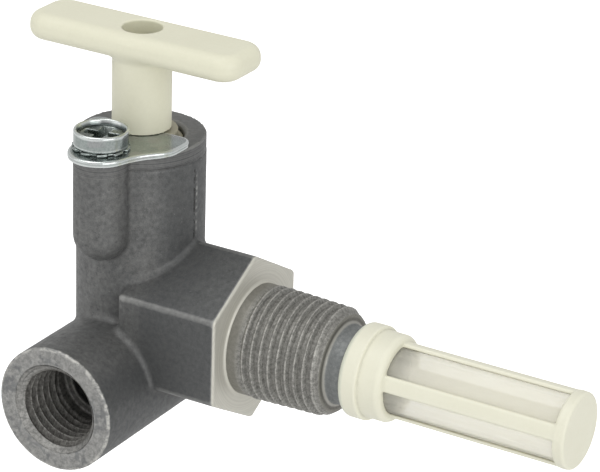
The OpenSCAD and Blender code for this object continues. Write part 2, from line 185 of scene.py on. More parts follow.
def settle(field, p, cell):
    """Points moved down the gradient onto the surface in three steps of half a cell at most."""
    for _ in range(3):
        g = slope(field, p, cell * 0.15)
        move = field(*p.T)[:, None] * g / np.maximum((g * g).sum(1), 0.05)[:, None]
        p = p - np.clip(move, -cell * 0.5, cell * 0.5)
    return p


def field_surface(field, low, high, cell):
    """Closed surface where a field is zero. Each grid cell that it crosses gets one vertex, at the
    mean of the crossings on the cell's edges, and each crossed grid edge gets one quad."""
    count = np.ceil((high - low) / cell).astype(int) + 1
    grid = np.meshgrid(*(low[i] + cell * np.arange(count[i]) for i in range(3)),
                       indexing="ij", sparse=True)
    f = np.broadcast_to(field(*grid), count).astype(np.float32)
    f = np.where(f == 0, np.float32(1e-6), f)
    inside = f < 0
    n = count - 1
    corners_in = sum(inside[i:i + n[0], j:j + n[1], k:k + n[2]].astype(np.int8)
                     for i, j, k in CORNERS)
    cells = np.argwhere((corners_in > 0) & (corners_in < len(CORNERS)))
    number = np.full(n, -1)
    number[tuple(cells.T)] = np.arange(len(cells))
    p = settle(field, low + cell * mean_crossings(f, cells), cell)
    return p, crossed_quads(inside, number)


# ---------------------------------------------------------------- meshes

def add_object(name, data):
    """A new object in the scene."""
    thing = bpy.data.objects.new(name, data)
    bpy.context.scene.collection.objects.link(thing)
    return thing


def put(name, points, faces, material, body,
        nodes=(), values=None, normals=None, uv=None):
    """Makes a piece of points in millimetres about the plug's axis, with its vertex values, and
    ties it to its CAD body."""
    mesh = bpy.data.meshes.new(name)
    faces = np.asarray(faces, np.int32)
    mesh.vertices.add(points.size // 3)
    mesh.vertices.foreach_set("co", ((points - ROW_SHIFT) / 1000).astype(np.float32).ravel())
    mesh.loops.add(faces.size)
    mesh.loops.foreach_set("vertex_index", faces.ravel())
    mesh.polygons.add(len(faces))
    starts = np.arange(0, faces.size, faces.shape[1], dtype=np.int32)
    mesh.polygons.foreach_set("loop_start", starts)
    mesh.update(calc_edges=True)
    for key, value in (values or {}).items():
        attribute = mesh.attributes.new(key, "FLOAT", "POINT")
        attribute.data.foreach_set("value", value.astype(np.float32).ravel())
    if uv is not None:
        corners = uv.reshape(-1, 2)[faces.ravel()]
        mesh.uv_layers.new(name="UVMap").data.foreach_set("uv", corners.astype(np.float32).ravel())
    mesh.shade_smooth()
    if normals is not None:
        mesh.normals_split_custom_set_from_vertices(normals)
    mesh.materials.append(material)
    piece = add_object(name, mesh)
    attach(piece, body)
    if nodes:
        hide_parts(*nodes)


def from_field(name, field, low, high, cell, material, body, nodes):
    """A piece from its distance field. The vertex value edge is the field's Laplacian, which is
    large and positive on outer edges and negative in creases."""
    p, quads = field_surface(field, np.array(low, float), np.array(high, float), cell)
    normals = slope(field, p, 0.03)
    normals /= np.linalg.norm(normals, axis=1)[:, None]
    reach = 0.35
    around = -6 * field(*p.T)
    for ahead, behind in beside(field, p, reach):
        around = around + ahead + behind
    edge = np.clip(around / reach, -1, 1)
    put(name, p, quads, material, body, nodes, {"edge": edge}, normals)


def along(points, step):
    """Points set at about one step from each other along an open outline, its corners kept."""
    points = np.array(points, float)
    out = []
    for a, b in zip(points[:-1], points[1:]):
        m = max(1, int(math.ceil(np.linalg.norm(b - a) / step)))
        out.append(a + (b - a) * np.arange(m)[:, None] / m)
    return np.concatenate([*out, points[-1:]])


def spread(outline, turns):
    """An outline's two values and the angle, ready to carry it round an axis in so many steps."""
    first, second = (np.repeat(outline[:, i:i + 1], turns, 1) for i in (0, 1))
    return first, second, np.arange(turns) * 2 * math.pi / turns


def ring_faces(rows, columns):
    """Quads of a grid whose rows and columns both close on themselves."""
    i, j = np.arange(rows)[:, None], np.arange(columns)[None, :]
    i2, j2 = (i + 1) % rows, (j + 1) % columns
    corners = [i * columns + j, i * columns + j2, i2 * columns + j2, i2 * columns + j]
    return np.stack(corners, -1).reshape(-1, 4)


# ---------------------------------------------------------------- shader helpers

def wire(tree, kind, links, **settings):
    """Adds a node, sets its properties, and fills its inputs with numbers or with other nodes'
    outputs. Gives back its outputs."""
    node = tree.nodes.new(kind)
    for key, value in settings.items():
        setattr(node, key, value)
    for key, value in links.items():
        if isinstance(value, bpy.types.NodeSocket):
            tree.links.new(value, node.inputs[key])
        else:
            node.inputs[key].default_value = value
    return node.outputs


def maths(tree, operation, *values):
    """The output of a Math node."""
    return wire(tree, "ShaderNodeMath", dict(enumerate(values)), operation=operation)[0]


def times(tree, product, *others):
    """The product of some values."""
    for value in others:
        product = maths(tree, "MULTIPLY", product, value)
    return product


def away(tree, u, v):
    """Distance from an axis, by the two coordinates across it."""
    return maths(tree, "SQRT", maths(tree, "ADD", times(tree, u, u), times(tree, v, v)))


def ramp(tree, value, low, high, out_low=0.0, out_high=1.0):
    """A smooth step of a value from low to high."""
    return wire(tree, "ShaderNodeMapRange",
                {"Value": value, "From Min": low, "From Max": high,
                 "To Min": out_low, "To Max": out_high}, interpolation_type="SMOOTHSTEP")[0]


def mix(tree, share, a, b):
    """The output of a colour mix, a and b colours or sockets."""
    links = {0: share}
    for key, colour in ((6, a), (7, b)):
        links[key] = (*colour, 1) if isinstance(colour, tuple) else colour
    return wire(tree, "ShaderNodeMix", links, data_type="RGBA")[2]


def coats(tree, base, *layers):
    """A base colour under layers (tone, mask, share), each laid over the ones before it by its
    mask times its share."""
    for tone, mask, share in layers:
        base = mix(tree, times(tree, mask, share), base, tone)
    return base


def object_mm(tree):
    """Object coordinates in millimetres about the plug's axis."""
    coordinate = tree.nodes.new("ShaderNodeTexCoord").outputs["Object"]
    return wire(tree, "ShaderNodeMapping", {0: coordinate, "Scale": (1000, 1000, 1000),
                                            "Location": tuple(ROW_SHIFT)})[0]


def xyz_mm(tree):
    """The three object coordinates in millimetres."""
    return wire(tree, "ShaderNodeSeparateXYZ", {0: object_mm(tree)})


def noise(tree, where, scale, detail=3.0, rough=0.55):
    """The value of a noise of so many features a millimetre."""
    return wire(tree, "ShaderNodeTexNoise", {"Vector": where, "Scale": scale, "Detail": detail,
                                             "Roughness": rough})[0]


def line_noise(tree, value, scale):
    """A noise along one value, for turning marks and scratches."""
    return wire(tree, "ShaderNodeTexNoise", {"W": value, "Scale": scale, "Detail": 2.0},
                noise_dimensions="1D")[0]


def vertex_value(tree, name):
    """A value that the mesh carries at its vertices."""
    return wire(tree, "ShaderNodeAttribute", {}, attribute_name=name)["Fac"]


def group(name, inputs, outputs):
    """A new shader node group with float inputs (name and default) and float outputs."""
    g = bpy.data.node_groups.new(name, "ShaderNodeTree")
    for label, default in inputs.items():
        s = g.interface.new_socket(label, in_out="INPUT", socket_type="NodeSocketFloat")
        s.default_value = default
    for label in outputs:
        g.interface.new_socket(label, in_out="OUTPUT", socket_type="NodeSocketFloat")
    return g, g.nodes.new("NodeGroupInput").outputs, g.nodes.new("NodeGroupOutput").inputs


# ---------------------------------------------------------------- shader groups

def build_mottle():
    """Blotches and grain: a wide and a fine noise, mixed to one value from 0 to 1."""
    g, given, out = group("Mottle", {"Size": 2.0, "Grain": 0.3, "Contrast": 1.0},
                          ("Tone", "Height"))
    p = object_mm(g)
    wide = noise(g, p, maths(g, "DIVIDE", 1.0, given["Size"]), 4.0, 0.62)
    fine = noise(g, p, maths(g, "DIVIDE", 1.0, given["Grain"]), 2.0, 0.5)
    both = maths(g, "ADD", times(g, wide, 0.62), times(g, fine, 0.38))
    contrast = times(g, given["Contrast"], 2.4)
    tone = maths(g, "MULTIPLY_ADD", maths(g, "SUBTRACT", both, 0.5), contrast, 0.5)
    g.links.new(wire(g, "ShaderNodeClamp", {0: tone})[0], out["Tone"])
    g.links.new(both, out["Height"])
    return g


def build_edge_light():
    """Painted highlights on outer edges, and dirt with painted shade in creases, from the vertex
    value edge, broken up by a noise.
    """
    g, given, out = group("Edge highlight and crease shade", {"Low": 0.15, "High": 0.6, "Breakup": 0.5},
                          ("Edge highlight", "Crease dirt and shade"))
    torn = maths(g, "SUBTRACT", noise(g, object_mm(g), 1.6), 0.5)
    value = maths(g, "ADD", vertex_value(g, "edge"), times(g, torn, given["Breakup"]))
    # Edge highlight is a painted highlight on outer edges; the crease output darkens creases as
    # dirt and painted shade
    for label, sign in (("Edge highlight", 1.0), ("Crease dirt and shade", -1.0)):
        share = wire(g, "ShaderNodeMapRange", {"Value": times(g, value, sign),
                                               "From Min": given["Low"],
                                               "From Max": given["High"]})[0]
        g.links.new(share, out[label])
    return g


def build_turned():
    """Turning marks: a noise of the distance from the thread's axis, or with Along at 1 of the
    height."""
    g, given, out = group("Turned lines", {"Along": 0.0, "Lines": 6.0}, ("Value",))
    _, y, z = xyz_mm(g)
    across = maths(g, "SUBTRACT", 1.0, given["Along"])
    level = maths(g, "ADD", times(g, z, given["Along"]), times(g, away(g, y, z), across))
    g.links.new(line_noise(g, level, given["Lines"]), out["Value"])
    return g


MOTTLE, EDGE_LIGHT, TURNED = build_mottle(), build_edge_light(), build_turned()


def place(tree, node_group, **values):
    """Puts a node group in a material with its own values, and returns its outputs."""
    return wire(tree, "ShaderNodeGroup", values, node_tree=node_group)


# ---------------------------------------------------------------- materials

def new_material(name, **sockets):
    """A material with one Principled BSDF whose sockets get these plain values."""
    m = bpy.data.materials.new(name)
    m.use_nodes = True
    shader = m.node_tree.nodes["Principled BSDF"]
    for key, value in sockets.items():
        shader.inputs[key.replace("_", " ")].default_value = value
    return m, m.node_tree, shader


def dress(tree, shader, colour, tone, rough, height, strength, depth):
    """Feeds a shader: its colour, a roughness that runs between two values with a tone, and a
    bump so many millimetres deep."""
    bump = wire(tree, "ShaderNodeBump", {"Height": height, "Strength": strength,
                                         "Distance": depth / 1000})
    tree.links.new(colour, shader.inputs["Base Color"])
    tree.links.new(ramp(tree, tone, 0.0, 1.0, *rough), shader.inputs["Roughness"])
    tree.links.new(bump[0], shader.inputs["Normal"])


def cast_metal():
    """Grey cast zinc: a blotched skin with painted highlights on its edges, flecks, dirt and
    painted shade in its creases and painted shade over the hexagon's sides, lighter machined faces
    with turning marks, chips round the outlet's mouth and a painted shadow beside the seam."""
    m, t, shader = new_material("cast zinc", Metallic=0.6)
    x, y, z = xyz_mm(t)
    where = object_mm(t)
    mottle = place(t, MOTTLE, Size=0.8, Grain=0.13, Contrast=0.85)
    blotch = place(t, MOTTLE, Size=7.0, Grain=0.7, Contrast=1.2)
    edge_light = place(t, EDGE_LIGHT, Low=0.2, High=0.75, Breakup=0.35)
    rings = place(t, TURNED, Along=0.0, Lines=3.5)["Value"]
    lines = place(t, TURNED, Along=1.0, Lines=5.0)["Value"]
    torn = noise(t, where, 1.1, 4.0, 0.65)
    spots = ramp(t, noise(t, where, 0.9, 4.0, 0.65), 0.60, 0.72)
    flecks = ramp(t, noise(t, where, 2.6, 3.0, 0.7), 0.66, 0.76)
    # Painted shade: the skin darkens from x 6 on, over the hexagon's sides
    hexagon_shade = ramp(t, x, 6.0, 8.5)
    skin = coats(t, mix(t, mottle["Tone"], (0.08, 0.081, 0.079), (0.25, 0.25, 0.242)),
                 ((0.085, 0.09, 0.094), blotch["Tone"], 0.4),
                 ((0.06, 0.062, 0.064), spots, 0.45),
                 ((0.078, 0.082, 0.085), hexagon_shade, 0.5),
                 # Dirt and painted shade in the creases, painted highlight on the edges
                 ((0.065, 0.063, 0.060), edge_light["Crease dirt and shade"], 0.45),
                 ((0.46, 0.46, 0.44), edge_light["Edge highlight"], 0.6),
                 ((0.40, 0.40, 0.385), flecks, 0.45))

    # Machined faces: the hexagon's end, the outlet's mouth and the band round the barrel's top
    end_face = mix(t, ramp(t, rings, 0.3, 0.7), (0.59, 0.577, 0.515), (0.65, 0.637, 0.57))
    at_end = ramp(t, x, HEX_FACE - 0.38, HEX_FACE - 0.2)
    mouth_face = coats(t, mix(t, mottle["Tone"], (0.15, 0.15, 0.148), (0.50, 0.495, 0.47)),
                       ((0.13, 0.137, 0.145), ramp(t, blotch["Tone"], 0.5, 0.8), 0.6))
    at_mouth = ramp(t, y, OUTLET_FACE + 0.3, OUTLET_FACE + 0.15)
    band_face = mix(t, ramp(t, lines, 0.35, 0.65), (0.09, 0.09, 0.09), (0.24, 0.24, 0.235))
    at_band = ramp(t, z, BAND_Z - 0.08, BAND_Z + 0.05)

    # Chips on the outlet's rim, and a painted shadow beside the seam, which the seam's ends and a
    # noise break off
    from_outlet = away(t, x, maths(t, "SUBTRACT", z, OUTLET_Z))
    chips = times(t, ramp(t, from_outlet, OUTLET_R - 0.525, OUTLET_R - 0.175),
                  ramp(t, y, OUTLET_FACE + 0.6, OUTLET_FACE + 0.3), ramp(t, torn, 0.48, 0.56))
    seam_shadow_y, seam_shadow_x, seam_shadow_foot, seam_shadow_head = -0.42, 9.0, 13.2, 24.8
    from_seam_shadow = maths(t, "ABSOLUTE", maths(t, "SUBTRACT", y, seam_shadow_y))
    line = times(t, ramp(t, from_seam_shadow, 0.28, 0.08), ramp(t, x, seam_shadow_x - 0.4, seam_shadow_x),
                 ramp(t, torn, 0.42, 0.5), ramp(t, z, seam_shadow_foot, seam_shadow_foot + 0.6),
                 ramp(t, z, seam_shadow_head, seam_shadow_head - 0.6))
    skin = coats(t, skin,
                 (end_face, at_end, 1.0),
                 (mouth_face, at_mouth, 0.85),
                 ((0.62, 0.61, 0.57), chips, 0.7),
                 # Painted shadow beside the seam
                 ((0.035, 0.034, 0.033), line, 0.8),
                 (band_face, at_band, 0.4))
    pits = noise(t, where, 5.0, 4.0, 0.7)
    height = times(t, maths(t, "ADD", mottle["Height"], pits), 0.5)
    dress(t, shader, skin, mottle["Tone"], (0.62, 0.46), height, 0.4, 0.12)
    return m


def thread_metal(name, dull, pale, crest_tone, root_tone, plain_dull, plain_pale):
    """A machined thread: thin rubbed crests over mottled flanks and darker roots, scratches round
    the axis, plain metal where the vertex value bare is 1, and a nose in four tones by radius:
    painted shade on the end face beside the nose, a painted highlight round its root fillet, and a
    bluish nose."""
    m, t, shader = new_material(name, Metallic=0.55)
    x, y, z = xyz_mm(t)
    mottle = place(t, MOTTLE, Size=0.5, Grain=0.12, Contrast=2.3)
    crest = vertex_value(t, "crest")
    rubbed = times(t, ramp(t, crest, 0.82, 1.0), ramp(t, mottle["Tone"], 0.2, 0.7, 0.25, 1.0))
    plain = mix(t, mottle["Tone"], plain_dull, plain_pale)
    bluish = mix(t, mottle["Tone"], (0.19, 0.20, 0.20), (0.235, 0.245, 0.24))
    from_axis = away(t, y, z)
    # Painted shade on the end face's inner edge, painted highlight ring round the nose's root
    # fillet
    nose = coats(t, plain,
                 (root_tone, ramp(t, from_axis, 6.95, 6.7), 0.8),
                 (crest_tone, ramp(t, from_axis, 6.5, 6.2), 0.75),
                 (bluish, ramp(t, from_axis, 6.08, 5.9), 1.0))
    base = coats(t, mix(t, mottle["Tone"], dull, pale),
                 (crest_tone, ramp(t, line_noise(t, x, 9.0), 0.5, 0.75), 0.35),
                 (crest_tone, rubbed, 0.6),
                 (root_tone, ramp(t, crest, 0.35, 0.0), 0.3),
                 (plain, vertex_value(t, "bare"), 1.0),
                 (nose, ramp(t, x, THREAD_END - 0.08, THREAD_END - 0.02), 1.0))
    dress(t, shader, base, mottle["Tone"], (0.62, 0.46), mottle["Height"], 0.35, 0.08)
    return m


def plated_metal():
    """Bright zinc plating: bluish grey flats, painted highlights on the rolled edges, dirt and
    painted shade in creases, a faint warm tint in places, painted shade over the dish in the
    screw's head, and a darker cross recess."""
    m, t, shader = new_material("zinc plating", Metallic=1.0)
    x, y, z = xyz_mm(t)
    mottle = place(t, MOTTLE, Size=2.4, Grain=0.3, Contrast=1.2)
    edge_light = place(t, EDGE_LIGHT, Low=0.12, High=0.6, Breakup=0.1)
    from_screw = away(t, x, maths(t, "SUBTRACT", y, BOSS_Y))
    warm = ramp(t, noise(t, object_mm(t), 0.35, 1.0), 0.5, 0.62)
    # Painted shade over the screw head's sunk dish
    dish = times(t, ramp(t, from_screw, 3.5, 3.35), ramp(t, z, HEAD_TOP - 0.4, HEAD_TOP - 0.6))
    recess = times(t, ramp(t, from_screw, 3.2, 3.0),
                   ramp(t, z, DISH_FLOOR - 0.09, DISH_FLOOR - 0.25))
    base = coats(t, mix(t, mottle["Tone"], (0.24, 0.272, 0.263), (0.40, 0.437, 0.422)),
                 ((0.44, 0.40, 0.42), warm, 0.3),
                 # Dirt and painted shade in creases, painted highlight on the rolled edges
                 ((0.06, 0.065, 0.075), edge_light["Crease dirt and shade"], 0.7),
                 ((0.88, 0.92, 0.905), edge_light["Edge highlight"], 0.6),
                 ((0.11, 0.13, 0.125), dish, ramp(t, mottle["Tone"], 0.25, 0.75, 0.9, 0.5)),
                 ((0.30, 0.33, 0.31), recess, 0.6))
    dress(t, shader, base, mottle["Tone"], (0.28, 0.15), mottle["Height"], 0.12, 0.06)
    return m


def moulded(name, pale, deep, gloss, shade_and_tint):
    """Moulded plastic: two close tones in soft clouds, a faint orange-peel skin, dirt and painted
    shade in creases, painted highlights on edges, a darker tone (axis, from, to, share, tone) past
    one level that is painted shade on the cream and a tint on the ivory, and painted shade inside
    the strainer's collar."""
    m, t, shader = new_material(name, Metallic=0.0, IOR=1.48)
    xyz = xyz_mm(t)
    x, y, z = xyz
    mottle = place(t, MOTTLE, Size=6.0, Grain=0.5, Contrast=0.8)
    edge_light = place(t, EDGE_LIGHT, Low=0.25, High=0.9, Breakup=0.2)
    axis, start, full, share, shade_and_tint_tone = shade_and_tint
    # Painted shade inside the strainer's collar, near black
    collar_inner_shade = times(t, ramp(t, away(t, y, z), MESH_R + 0.03, MESH_R - 0.04),
                ramp(t, x, STEP_END + 0.02, STEP_END - 0.05), ramp(t, x, 31.0, 31.6))
    base = coats(t, mix(t, mottle["Tone"], deep, pale),
                 # Dirt and painted shade in creases, painted highlight on edges
                 (tuple(c * 0.7 for c in deep), edge_light["Crease dirt and shade"], 0.2),
                 (tuple(min(c * 1.08, 0.9) for c in pale), edge_light["Edge highlight"], 0.4),
                 # Past one level: painted shade under the cream handle's stem, a tint on the ivory
                 # collar's back
                 (shade_and_tint_tone, ramp(t, xyz[axis], start, full), share),
                 ((0.05, 0.048, 0.04), collar_inner_shade, 0.95))
    rough = gloss + 0.06, gloss - 0.04
    dress(t, shader, base, mottle["Tone"], rough, mottle["Height"], 0.12, 0.10)
    return m


def woven():
    """Filter cloth: a see-through weave over the UV map, a thread where the product of two sines
    is small, with painted shade near the collar."""
    m, t, shader = new_material("filter cloth", Metallic=0.0, IOR=1.45)
    uv = wire(t, "ShaderNodeSeparateXYZ", {0: t.nodes.new("ShaderNodeTexCoord").outputs["UV"]})
    thread_gap = 0.17
    waves = [maths(t, "ABSOLUTE", maths(t, "SINE", times(t, uv[i], math.pi / thread_gap)))
             for i in (0, 1)]
    thread = ramp(t, times(t, *waves), 0.62, 0.34)
    mottle = place(t, MOTTLE, Size=7.0, Grain=1.2, Contrast=0.6)
    tone = coats(t, mix(t, mottle["Tone"], (0.93, 0.905, 0.775), (0.97, 0.95, 0.84)),
                 # Painted shade on the cloth near the collar
                 ((0.36, 0.35, 0.30), ramp(t, uv[0], 48.2, 45.2), 0.5))
    t.links.new(maths(t, "MULTIPLY_ADD", thread, 0.58, 0.07), shader.inputs["Alpha"])
    dress(t, shader, tone, thread, (0.8, 0.65), thread, 0.15, 0.04)
    return m


def rubber():
    """Black rubber with a faint bloom."""
    m, t, shader = new_material("black rubber", Metallic=0.0, IOR=1.5)
    mottle = place(t, MOTTLE, Size=1.2, Grain=0.2, Contrast=1.0)
    tone = mix(t, mottle["Tone"], (0.014, 0.014, 0.016), (0.040, 0.040, 0.043))
    dress(t, shader, tone, mottle["Tone"], (0.6, 0.45), mottle["Height"], 0.3, 0.08)
    return m


CAST, PLATED, RUBBER, CLOTH = cast_metal(), plated_metal(), rubber(), woven()
MALE = thread_metal("male thread", dull=(0.17, 0.167, 0.155), pale=(0.34, 0.335, 0.31),
                    crest_tone=(0.50, 0.49, 0.45), root_tone=(0.16, 0.154, 0.138),
                    plain_dull=(0.235, 0.229, 0.204), plain_pale=(0.265, 0.258, 0.23))
FEMALE = thread_metal("female thread", dull=(0.07, 0.067, 0.06), pale=(0.17, 0.165, 0.152),
                      crest_tone=(0.46, 0.45, 0.42), root_tone=(0.04, 0.036, 0.031),
                      plain_dull=(0.19, 0.188, 0.18), plain_pale=(0.35, 0.345, 0.325))
# Below the stem's base the cream is darkened: painted shade over the stop and the plug's top
CREAM = moulded("cream plastic", (0.765, 0.752, 0.595), (0.715, 0.702, 0.548), 0.42,
                (2, STEM_BASE - 0.01, STEM_BASE - 0.15, 0.72, (0.24, 0.215, 0.15)))
IVORY = moulded("ivory plastic", (0.785, 0.772, 0.635), (0.745, 0.732, 0.59), 0.40,
                (0, 38.8, 38.4, 0.45, (0.54, 0.59, 0.50)))


# ---------------------------------------------------------------- cast body

def hexagon(y, z):
    """Signed distance to a hexagon round the thread's axis with flats facing -Y and +Y. The
    slanted flats lie HEX_SLANT further out, and the corners are rounded."""
    sides = ((0, 0), (math.pi / 3, HEX_SLANT), (-math.pi / 3, HEX_SLANT))
    flats = [np.abs(y * math.cos(a) + z * math.sin(a)) - HEX_HALF - out for a, out in sides]
    return meet(meet(flats[0], flats[1], 0.5), flats[2], 0.5)


def cast_skin(x, y, z):
    """How far the cast skin lies inside its nominal size: long and short waves, 0.04 at most."""
    return 0.013 * (1 + ripple(x, y, z, 5.0, 3)) + 0.007 * (1 + ripple(x, y, z, 1.7, 4))


def parting_seam(x, y, z):
    """Height of the seam down the barrel's +X side: a bell across it, which ends over the hexagon
    and under the turned band, and swells and thins along its way."""
    height, width, foot, head = 0.20, 0.32, 12, 24.4
    bell = height * np.exp(-(y / width) ** 2) * (x > 0)
    ended = bell * np.clip((z - foot) / 2, 0, 1) * np.clip((head - z) / 1.2, 0, 1)
    return ended * (0.6 + 0.7 * ripple(z, z, z, 1.6, 9))


def barrel_side(x, y, z, cast):
    """Signed distance to the barrel's side: cast skin and seam, then a groove, and over it the
    turned band, a step smaller."""
    step, groove_depth, groove_width = 0.07, 0.13, 0.11
    turned = 1 / (1 + np.exp(-np.clip((z - BAND_Z) / 0.04, -40, 40)))
    groove = groove_depth * np.exp(-((z - GROOVE_Z) / groove_width) ** 2)
    side = np.hypot(x, y) - BARREL_R + step * turned + groove + cast * (1 - turned)
    return side - parting_seam(x, y, z)


def passages(x, y, z):
    """The body's holes, each with the rounding of its rim: plug bore, inlet, outlet with the seat
    of its thread lining, countersink and the screw's hole."""
    bevel_z, seat_r, mouth_r, rim = 27.5, 6.75, 7.0, 0.1
    from_plug, from_outlet = np.hypot(x, y), np.hypot(x, z - OUTLET_Z)
    depth = y - OUTLET_FACE
    bore = np.maximum(from_plug - BORE_R - np.clip(z - bevel_z, 0, 0.5), BORE_FLOOR - z)
    inlet = np.maximum(np.hypot(y, z) - INLET_R, -x)
    outlet = np.maximum(from_outlet - np.where(depth < TAPPED_DEPTH, seat_r, OUTLET_WAY_R), y)
    cone = (from_outlet - mouth_r + np.minimum(depth, 1.0)) / 1.3
    countersink = np.maximum(cone, depth - 0.5)
    screw_hole = np.maximum(np.hypot(x, y - BOSS_Y) - BOSS_HOLE_R, BOSS_HOLE_FLOOR - z)
    return (bore, rim), (inlet, rim), (outlet, rim), (countersink, 0.15), (screw_hole, rim)


def body_field(x, y, z):
    """Upright barrel, half-round boss, hexagon and outlet tube joined with fillets, then every
    bore and passage taken out. Where barrel and tube run into each other their sides are alike:
    there the fillet shrinks to nothing."""
    fillet, neck_fillet, top_edge = 0.75, 0.45, 0.12
    mouth_edge, hex_edge, hex_bevel = 0.35, 0.42, 1.5
    cast = cast_skin(x, y, z)
    from_plug, from_outlet = np.hypot(x, y), np.hypot(x, z - OUTLET_Z)
    side = barrel_side(x, y, z, cast)
    tube_side = from_outlet - OUTLET_R + cast
    alike = x * x / np.maximum(from_plug * from_outlet, 1e-6)
    square = np.clip(1 - alike * alike, 0, 1)
    upright = np.maximum(side, OUTLET_Z - z)
    tube = meet(np.maximum(tube_side, y), OUTLET_FACE - y, mouth_edge)
    elbow = meet(side, tube_side, 2.0 * square ** 2 + 1e-3)
    boss_foot = np.minimum(z - BOSS_FOOT, 0)
    boss = np.sqrt(x * x + (y - BOSS_Y) ** 2 + boss_foot ** 2) - BOSS_R + cast
    hexa = meet(hexagon(y, z) + cast, x - HEX_FACE, hex_edge)
    hexa = meet(hexa, HEX_BACK - x, hex_bevel)
    neck = np.maximum(np.hypot(y, z) - NECK_R + 0.02, span(x, 10, 20.9))
    body = join(join(upright, boss, fillet), hexa, fillet)
    body = np.minimum(join(body, tube, 1.15 * square + 1e-3), elbow)
    body = meet(join(body, neck, neck_fillet), z - BARREL_TOP, top_edge)
    for hole, rim in passages(x, y, z):
        body = cut(body, hole, rim)
    return body


def helix(s, angle, line, deep):
    """How far a 60 degree thread lies below its crest: 0 on the crest's flat, rising along the
    flank to deep. s runs along the axis, and the crest moves one pitch along it with each turn,
    from line at angle 0."""
    d = np.abs((s / PITCH - angle / (2 * math.pi) - line + 0.5) % 1 - 0.5) * PITCH
    return np.clip((d - CREST_HALF) / math.tan(math.radians(30)), 0, deep)


def tank_thread():
    """Neck, male taper thread and nose as one ring: an outline (x, radius) carried round the axis.
    In the threaded stretch the radius is the crest line less the helix, which fades in behind the
    neck, and it stays under the end chamfer's cone."""
    deep, last, fade_start, plain_end, chamfer_r = 0.68, 35.0, 21.6, 22.3, 7.25
    x = np.arange(THREAD_START, last, 0.062)
    threaded = np.stack([x, np.full(len(x), NECK_R)], 1)
    neck = along([(19.6, INLET_R), (19.6, NECK_R), (THREAD_START, NECK_R)], 0.6)[:-1]
    nose = along([(THREAD_END, 7.22), (THREAD_END, 6.5), (35.16, 6.2), (35.35, 5.98),
                  (35.65, NOSE_R), (37.4, NOSE_R), (37.62, 5.77), (NOSE_END, 5.55),
                  (NOSE_END, SOCKET_R + 0.15), (37.55, SOCKET_R), (SOCKET_FLOOR, SOCKET_R),
                  (SOCKET_FLOOR, INLET_R), (20.6, INLET_R)], 0.7)
    x, r, angle = spread(np.concatenate([neck, threaded, nose]), 240)
    on_thread = (x >= THREAD_START) & (r == NECK_R)
    crest_line = THREAD_R + (THREAD_END - x) * TAPER
    fade = np.clip((x - fade_start) / 1.6, 0, 1)
    low = helix(x, angle, 0.765, deep)
    screwed = crest_line - low * fade - (1 - fade) * np.clip(crest_line - NECK_R, 0, 1)
    chamfer = chamfer_r + (THREAD_END - x) * 0.72
    r = np.where(on_thread, np.minimum(screwed, chamfer), r)
    crest = np.where(on_thread, 1 - low / deep * fade, 0.55)
    bare = np.clip((plain_end - x) / 0.5, 0, 1)
    y, z = r * np.cos(angle), r * np.sin(angle)
    dents = 0.022 * ripple(x, y, z, 1.1, 21) + 0.015 * ripple(x, y, z, 0.5, 22)
    r = r + np.where(on_thread, dents, 0)
    p = np.stack([x, r * np.cos(angle), r * np.sin(angle)], -1)
    put("tank_thread", p, ring_faces(*x.shape)[:, ::-1], MALE, "tap",
        values={"crest": crest, "bare": bare})


def outlet_thread():
    """Lining of the outlet: an outline (depth, radius) carried round its axis. In the threaded
    stretch the radius is the crest line plus the helix, and never less than the drilled hole or
    the countersink's cone."""
    deep, last, fade_end, plain_from, outer = 0.72, 9.7, 9.5, 9.4, 6.82
    crest_r, sink_r, sink_depth = 5.7, 6.92, 1.15
    s = np.arange(0.1, last, 0.06)
    threaded = np.stack([s, np.full(len(s), DRILL_R)], 1)
    rest = along([(last, DRILL_R), (TAPPED_DEPTH, DRILL_R), (TAPPED_DEPTH, OUTLET_WAY_R),
                  (11.0, OUTLET_WAY_R), (11.0, outer), (0.1, outer)], 0.6)
    s, r, angle = spread(np.concatenate([threaded, rest]), 200)
    on_thread = (r == DRILL_R) & (s < last)
    low = helix(s, -angle, 0.19, deep)
    fade = np.clip((fade_end - s) / 1.2, 0, 1)
    screwed = np.maximum(crest_r - s * TAPER + low * fade, DRILL_R - 0.06 * fade)
    r = np.where(on_thread, np.maximum(screwed, sink_r - s), r)
    crest = np.where(on_thread, 1 - low / deep, 0.5)
    bare = np.clip((sink_depth - s) / 0.2, 0, 1) * on_thread + 0.5 * (s > plain_from)
    dents = 0.02 * ripple(s, r * np.cos(angle), r * np.sin(angle), 0.9, 31)
    r = r + np.where(on_thread, dents, 0)
    p = np.stack([r * np.cos(angle), OUTLET_FACE + s, OUTLET_Z + r * np.sin(angle)], -1)
    put("outlet_thread", p, ring_faces(*s.shape), FEMALE, "tap",
        values={"crest": crest, "bare": bare})


# ---------------------------------------------------------------- handle

def bar_field(x, y, z):
    """T-bar: a plan with round corners whose sides lean in toward the top, its upper and lower
    edges soft."""
    corner, lean, top_edge, base_edge = 3.2, 0.4, 1.7, 1.8
    middle, reach = (BAR_RIGHT - BAR_LEFT) / 2, (BAR_RIGHT + BAR_LEFT) / 2
    half = BAR_HALF - lean * np.clip((z - BAR_BASE) / (HANDLE_TOP - BAR_BASE), 0, 1)
    u, v = np.abs(x - middle) - reach + corner, np.abs(y) - half + corner
    plan = np.hypot(np.maximum(u, 0), np.maximum(v, 0)) + np.minimum(np.maximum(u, v), 0) - corner
    return meet(meet(plan, z - HANDLE_TOP, top_edge), BAR_BASE - z, base_edge)


